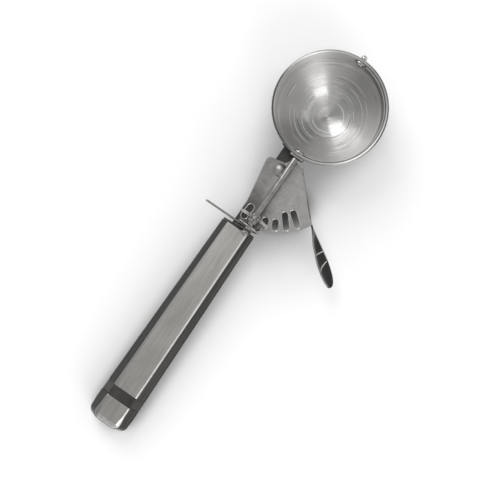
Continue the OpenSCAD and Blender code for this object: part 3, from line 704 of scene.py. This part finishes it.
def makePlate():
    s = leverSize
    curve = bpy.data.curves.new("plateCurve", "CURVE")
    curve.dimensions = "2D"
    curve.fill_mode = "BOTH"
    curve.extrude = (s["plate"] / 2 - s["edge"]) * mm
    curve.bevel_depth = s["edge"] * mm
    curve.bevel_resolution = 2
    curve.offset = -s["edge"] * mm
    for loop in [plateOutline()] + slotLoops() + [arcPoints((0, 0), s["hole"], 0, 350, 35)]:
        spline = curve.splines.new("POLY")
        spline.points.add(len(loop) - 1)
        for point, (right, down) in zip(spline.points, loop):
            at = fromPivot(right, down, 0) * mm
            point.co = (at.x, at.y, 0, 1)
        spline.use_cyclic_u = True
    holder = bpy.data.objects.new("plateHolder", curve)
    bpy.context.scene.collection.objects.link(holder)
    bpy.context.view_layer.update()
    shaped = holder.evaluated_get(bpy.context.evaluated_depsgraph_get())
    mesh = bpy.data.meshes.new_from_object(shaped)
    bpy.data.objects.remove(holder)
    mesh.transform(Matrix.Translation((0, 0, s["level"] * mm)))
    return setPiece("lever_plate", mesh, "lever", "plate_steel", "plate", ("thumb_lever",),
                    sharp=29)


def closedTube(path, radius, sides):
    # a low ring along a closed path
    verts, faces, n = [], [], len(path)
    for i, p in enumerate(path):
        t = (path[(i + 1) % n] - path[i - 1]).normalized()
        o = t.cross(Vector((0, 0, 1)))
        here, ahead = i * sides, (i + 1) % n * sides
        for k in range(sides):
            a = 2 * math.pi * k / sides
            side = o * radius * math.cos(a)
            verts.append(p + side + Vector((0, 0, radius * 0.6 * math.sin(a))))
            m = (k + 1) % sides
            faces.append((here + k, here + m, ahead + m, ahead + k))
    return verts, faces


def makeRims():
    # the stamping's raised rims round the slots, in the lighter blade steel as painted highlights
    s = leverSize
    top = s["level"] + s["plate"] / 2
    verts, faces = joined([closedTube([fromPivot(x, y, top) for x, y in loop], s["rimR"], 8)
                           for loop in slotLoops(-s["rimOut"])])
    return addPiece("slot_rims", verts, faces, "lever", "plate_steel", "blade", (), sharp=60)


def ease(u):
    u = min(1.0, max(0.0, u))
    return u * u * (3 - 2 * u)


def padHalf(w):
    # half the pad's width: it swells down to its widest place, then rounds off
    s = leverSize
    if w < s["widest"]:
        return s["flange"] / 2 + (s["padW"] - s["flange"]) / 2 * ease(w / s["widest"]) ** 2
    past = (w - s["widest"]) / (1 - s["widest"])
    return s["padW"] / 2 * math.sqrt(max(0.0035, 1 - past ** 2.4))


def stripAt(u, v, side):
    # u runs 0..1 down the folded edge and 1..2 down the pad; v runs -1..1 across
    s = leverSize
    top, turn = Vector(s["corner"]), math.radians(s["arcStart"])
    low = s["arcR"] * Vector((math.sin(turn), math.cos(turn)))
    edge = (low - top).normalized()
    turnPad = math.radians(s["padTurn"])
    padDir = Vector((math.sin(turnPad), math.cos(turnPad)))
    k = ease((u - 0.9) / 0.25)                 # the fold turns into the pad's own direction
    along = edge.lerp(padDir, k).normalized()
    across = Vector((along.y, -along.x))
    thick = s["plate"] / 2
    if u <= 1:
        at = top.lerp(low, u)
        half, twist, dish, bow = s["flange"] / 2, 0.0, 0.0, 0.0
    else:
        w = u - 1
        at = low + padDir * (s["padL"] * w - s["padStart"] * min(1.0, w * 10))
        half = padHalf(w)
        twist = math.radians(s["twist"]) * ease(w / 0.35)
        dish = 0.9 * v * v * half / (s["padW"] / 2) * ease(w * 2)
        bow = math.sin(math.pi * w)
        for place, lean in s["creases"]:
            off = (w - place - lean * v) / s["creaseWide"]
            dish -= s["creaseDeep"] * math.exp(-off ** 2) * ease((1 - abs(v)) * 3)
    dish += side * thick - (thick if u <= 1 else thick * (1 - k))
    shift = dish * math.cos(twist) - v * half * math.sin(twist) - bow
    at = at + across * shift
    z = s["middle"] - 0.5 * ease((u - 0.9) / 0.3)
    z += v * half * math.cos(twist) + dish * math.sin(twist)
    return fromPivot(at.x, at.y, z)


def makeStrip(name, start, end, rows, finish):
    across = leverSize["across"]
    verts = [stripAt(start + (end - start) * i / rows, 2 * j / across - 1, side)
             for side in (-1, 1) for i in range(rows + 1) for j in range(across + 1)]
    verts, faces = sheet(verts, rows, across)
    return addPiece(name, verts, faces, "lever", "plate_steel", finish, (), sharp=40,
                    bevel=leverSize["edge"])


def makeRidges():
    # the pad's two pressed ridges and a strip along its lower edge, in the lighter blade steel as
    # painted highlights
    s = leverSize
    parts = []
    for place, lean in s["creases"]:
        spots = [1.6 * i / 16 - 0.8 for i in range(17)]
        path = [stripAt(1 + place + lean * v, v, 1.0) for v in spots]
        parts.append(tube(path, s["ridgeR"], 8))
    trim = [stripAt(1.02 + 0.56 * i / 30, -1.0, 0.4) for i in range(31)]
    parts.append(tube(trim, s["trimR"], 8))
    verts, faces = joined(parts)
    return addPiece("pad_ridges", verts, faces, "lever", "plate_steel", "blade", (), sharp=60)


makePlate()
makeRims()
makeStrip("lever_fold", 0.0, 1.0, 70, "plate")
makeStrip("lever_pad", 1.0, 2.0, 90, "pad")
makeRidges()
print("lever made")


# the stem and the small stampings keep the CAD's shape, with softened corners:
# node, body, slot, finish and the corners' width in mm
stampings = (
    ("stem", "frame", "stamped_steel", "stamped", 0.35),
    ("rear_bush", "frame", "turned_steel", "turned", 0.2),
    ("bowl_saddle", "frame", "stamped_steel", "stamped", 0.25),
    ("star_wheel", "scraper", "plate_steel", "blade", 0.14),
    ("shaft_bracket", "frame", "stamped_steel", "stamped", 0.15),
    ("bracket_rivets", "frame", "turned_steel", "turned", 0.12),
    ("tang_block", "frame", "core_metal", "stamped", 0.2),
    ("tang_pin", "frame", "turned_steel", "turned", 0.1),
)
for stamping in stampings:
    softCopy(*stamping)
print("stampings softened")


# front is where the coil begins along the shaft, and lead eases the wire into it
springSize = {"wire": 1.1, "coilR": 6.1, "turns": 1.25, "pitch": 1.6, "front": -70.5, "lead": 0.7,
              "leg": 26.0, "steps": 60, "legSteps": 12}


def makeSpring():
    s = springSize
    meanR, wireR = s["coilR"] - s["wire"] / 2, s["wire"] / 2
    top = spanOf("return_spring")[1][0]
    path = [Vector((top - wireR, -meanR - 0.1, 0)), Vector((top - 1.2, -meanR - 0.08, 0.0))]
    first = 270 - 360 * s["turns"]
    steps = int(s["steps"] * s["turns"])
    for i in range(steps + 1):
        part = i / steps
        a = math.radians(first + 360 * s["turns"] * part)
        lead = s["lead"] * (1 - ease(part * 9))
        x = s["front"] + lead - s["pitch"] * s["turns"] * part
        path.append(Vector((x, meanR * math.cos(a), meanR * math.sin(a))))
    legX, legSteps = path[-1].x, s["legSteps"]
    for i in range(1, legSteps + 1):
        path.append(Vector((legX, (s["leg"] - wireR) * i / legSteps, -meanR)))
    verts, faces = tube(path, wireR)
    return addPiece("spring_wire", verts, faces, "frame", "spring_wire", "wire",
                    ("return_spring",), sharp=60)


makeSpring()
print("spring made")


# t and flat are the thickness and the width of the flat face, 0 at the front and 1 at the back;
# inside is the radius of inner corners, lip how far the tube's mouth is set back and drawn in
handleSize = {"t0": 13.4, "t1": 17.0, "flat0": 11.5, "flat1": 13.4, "length": 120.0, "edge": 1.3,
              "inside": 0.6, "wall": 0.9, "front": -74.35, "plate": 1.1, "band": 5.8, "cap": 13.8,
              "side": 4.5, "level": -9.65, "corner": 4.2, "endEdge": 3.0, "plug": 5, "spigot": 7,
              "sunk": 0.15, "lip": ((0.0, 0.22), (0.07, 0.07), (0.22, 0.0)), "cornerSteps": 6}


def gripRing(x, inset, edge):
    # the six-sided outline at x, drawn in by inset, with round corners
    s = handleSize
    part = (s["front"] - x) / s["length"]
    thick = s["t0"] + (s["t1"] - s["t0"]) * part
    flat = s["flat0"] + (s["flat1"] - s["flat0"]) * part
    wide = flat / 2 + thick / 2 / math.tan(math.radians(60))
    d = inset + edge
    f, t, w = flat / 2 - d / math.sqrt(3), thick / 2 - d, wide - d * 2 / math.sqrt(3)
    centres = [(w, 0), (f, t), (-f, t), (-w, 0), (-f, -t), (f, -t)]
    steps, ring = s["cornerSteps"], []
    for (cy, cz), start in zip(centres, range(-30, 271, 60)):
        for k in range(steps + 1):
            a = math.radians(start + 60 * k / steps)
            ring.append((x, s["side"] + cy + edge * math.cos(a),
                         s["level"] + cz + edge * math.sin(a)))
    return ring


def loft(rings, closed=False):
    n = len(rings[0])
    verts = [p for ring in rings for p in ring]
    faces = []
    for i in range(len(rings) - 1):
        for k in range(n):
            m = (k + 1) % n
            faces.append((i * n + k, i * n + m, (i + 1) * n + m, (i + 1) * n + k))
    if closed:
        faces.append(tuple(range(n)))
        faces.append(tuple(range(len(verts) - n, len(verts))))
    return verts, faces


# the handle's pieces have their own Z along the handle, so that the brushing runs that way
alongHandle = Matrix.Rotation(math.radians(-90), 4, "Y")


def addGrip(name, rings, slotName, finish, node, closed=False):
    verts, faces = loft(rings, closed)
    back = alongHandle.inverted()
    return addPiece(name, [back @ Vector(v) for v in verts], faces, "frame", slotName, finish,
                    (node,), alongHandle, 28.0)


def makeHandle():
    s = handleSize
    e, wall, inside, lip = s["edge"], s["wall"], s["inside"], s["lip"]
    gripX = s["front"] - s["plate"]
    endX = s["front"] - s["length"]
    capX = endX + s["cap"]
    bandX = capX + s["band"]

    outer = [gripRing(gripX - a, d, e) for a, d in lip]
    outer += [gripRing(gripX + (bandX - gripX) * i / 40, 0, e) for i in range(1, 40)]
    outer += [gripRing(bandX + a, d, e) for a, d in lip[::-1]]
    inner = [gripRing(bandX, wall, inside), gripRing(gripX, wall, inside)]
    addGrip("handle_tube", outer + inner + outer[:1], "brushed_handle", "handle", "handle_shell")

    plate = [(s["front"], 0.55, 1.0), (s["front"] - 0.12, 0.32, 1.1), (s["front"] - 0.35, 0.25, e),
             (gripX + 0.02, 0.25, e), (gripX + 0.02, wall, inside),
             (gripX - s["plug"], wall, inside)]
    addGrip("handle_front", [gripRing(*ring) for ring in plate], "dark_plastic", "plastic",
            "front_plate", True)

    groove = [(bandX + s["spigot"], wall, inside), (bandX + 0.02, wall, inside),
              (bandX - 0.02, 0.35, e), (bandX - 0.25, s["sunk"], e)]
    groove += [(bandX - 0.25 + (capX - bandX + 0.5) * i / 6, s["sunk"], e) for i in range(1, 7)]
    groove += [(capX + 0.02, 0.35, e), (capX - 0.02, wall, inside),
               (capX - s["spigot"], wall, inside)]
    addGrip("handle_ring", [gripRing(*ring) for ring in groove], "dark_plastic", "plastic",
            "handle_band", True)

    cap = [(capX, wall, inside)] + [(capX - a, d, e) for a, d in lip]
    bend, rounder = endX + s["corner"], s["endEdge"] - e
    cap += [(capX + (bend - capX) * i / 10, 0, e + rounder * ease((i - 5) / 5))
            for i in range(1, 11)]
    for a in (math.radians(90 * i / 12) for i in range(1, 13)):
        cap.append((bend - s["corner"] * math.sin(a), s["corner"] * (1 - math.cos(a)), s["endEdge"]))
    addGrip("handle_end", [gripRing(*ring) for ring in cap], "brushed_handle", "handle",
            "handle_cap", True)


makeHandle()
print("handle made")


# The floor has painted shadow under what hangs close over it, deepest at a fixed spot below the
# slots.
# spot is in the tool's frame in metres, and the edges are distances at which each shade ends.
studio = {"floor": (0.90, 0.90, 0.90), "lift": (0.06, 0.06, 0.06), "half": 3.0, "reach": 0.035,
          "open": (0.46, 0.80), "spot": (-0.060, -0.012, -0.02), "spotEdge": (0.014, 0.025),
          "hingeEdge": (0.0255, 0.0330), "contact": 0.38, "deepest": 0.54,
          "white": (0.25, 1.2, 1.0, 8.0), "world": 0.75, "backdrop": 1.0}


def makeStudio():
    s = studio
    mesh = bpy.data.meshes.new("floor")
    corners = [(x * s["half"], y * s["half"], 0) for x, y in ((-1, -1), (1, -1), (1, 1), (-1, 1))]
    mesh.from_pydata(corners, [], [(0, 1, 2, 3)])
    floor = bpy.data.objects.new("floor", mesh)
    bpy.context.scene.collection.objects.link(floor)
    pale = Finish("paleFloor")
    grain = pale.noise(pale.place(), 12.0, 2.0)
    camera, glossy, through = (pale.node("ShaderNodeLightPath", out=k) for k in (0, 3, 6))
    seen = pale.maths("MAXIMUM", pale.maths("MAXIMUM", camera, glossy), through)
    near = pale.node("ShaderNodeAmbientOcclusion", {"samples": 32}, {"Distance": s["reach"]}, out=1)
    openness = pale.ramp(near, *s["open"])
    spot, hinge = toolMatrix @ Vector(s["spot"]), toolMatrix @ (Vector(pivot) * mm)
    away = pale.gap(pale.place(), (spot.x, spot.y, 0))
    fromHinge = pale.gap(pale.place(), (hinge.x, hinge.y, 0))
    under = (pale.ramp(away, *s["spotEdge"], 1.0, 0.0)
             * pale.ramp(fromHinge, *s["hingeEdge"], 1.0, 0.0))
    depth = s["contact"] + under * s["deepest"]
    colour = pale.tint(grain, shade(s["floor"], 0.985), s["floor"])
    glow = pale.tint(seen * openness, (0, 0, 0), s["lift"])
    pale.feed(Base_Color=pale.dimmed(colour, 1.0 - (1.0 - openness) * depth),
              Roughness=0.9, Specular_IOR_Level=0.1,
              Emission_Color=pale.dimmed(glow, pale.ramp(away, *s["white"])),    # white far away
              Emission_Strength=1.0)
    mesh.materials.append(pale.material)

    world = bpy.data.worlds.new("studioWorld")
    bpy.context.scene.world = world
    world.use_nodes = True
    sky = world.node_tree.nodes["Background"]
    lookedAt = world.node_tree.nodes.new("ShaderNodeLightPath")
    level = world.node_tree.nodes.new("ShaderNodeMapRange")        # white to the camera only
    level.inputs["To Min"].default_value = s["world"]
    level.inputs["To Max"].default_value = s["backdrop"]
    world.node_tree.links.new(lookedAt.outputs["Is Camera Ray"], level.inputs["Value"])
    world.node_tree.links.new(level.outputs["Result"], sky.inputs["Strength"])
    sky.inputs["Color"].default_value = (1, 1, 1, 1)


def softbox(name, right, up, away, size, radiance):
    # placed by the picture's own right, up and towards the viewer, in metres from the aim
    light = bpy.data.lights.new(name, "AREA")
    light.shape = "RECTANGLE"
    light.size, light.size_y = size
    light.energy = radiance * math.pi * size[0] * size[1]
    lamp = bpy.data.objects.new(name, light)
    bpy.context.scene.collection.objects.link(lamp)
    target = toolMatrix @ Vector(shot["aim"])
    lamp.location = target + pictureTurn().inverted().to_3x3() @ Vector((right, up, away))
    lamp.rotation_euler = (target - lamp.location).to_track_quat("-Z", "Y").to_euler()
    return lamp


# turn is the handle's slope in the picture, tip and lean how the camera looks into the mouth,
# in degrees; away and aim are in metres, shift in mm, focal in pixels of a 480 pixel picture
shot = {"away": 0.60, "tip": -3.2, "lean": 4.1, "turn": 55.6, "aim": (-0.081, 0.0, 0.0),
        "shift": (-0.8, -1.0), "focal": 1200.0, "pixels": 480, "sensor": 36.0}


def pictureTurn():
    turn, tip, lean = (Matrix.Rotation(math.radians(shot[key]), 4, axis)
                       for key, axis in (("turn", "Z"), ("tip", "X"), ("lean", "Y")))
    return turn @ tip @ lean


def makeCamera():
    camera = bpy.data.objects.new("camera", bpy.data.cameras.new("camera"))
    bpy.context.scene.collection.objects.link(camera)
    bpy.context.scene.camera = camera
    aim = toolMatrix @ Vector(shot["aim"])
    back = pictureTurn().inverted()
    right, up = shot["shift"]
    offset = Matrix.Translation((-right * mm, -up * mm, shot["away"]))
    camera.matrix_world = Matrix.Translation(aim) @ back @ offset
    camera.data.sensor_width = shot["sensor"]
    camera.data.lens = shot["focal"] / shot["pixels"] * shot["sensor"]
    camera.data.clip_start = 0.01
    camera.data.clip_end = 20


# right, up, towards the viewer, width and height in metres, and radiance
softboxes = {"keyBox": (-0.42, 1.00, 0.95, (0.75, 1.00), 2.9),
             "lowBox": (0.45, -1.00, 0.85, (0.70, 0.90), 2.5),
             "sideBox": (1.10, 0.30, 0.60, (0.50, 0.70), 1.0)}

makeStudio()
for boxName, box in softboxes.items():
    softbox(boxName, *box)
makeCamera()
view = bpy.context.scene.view_settings
view.view_transform = "Standard"
print("studio and camera ready")
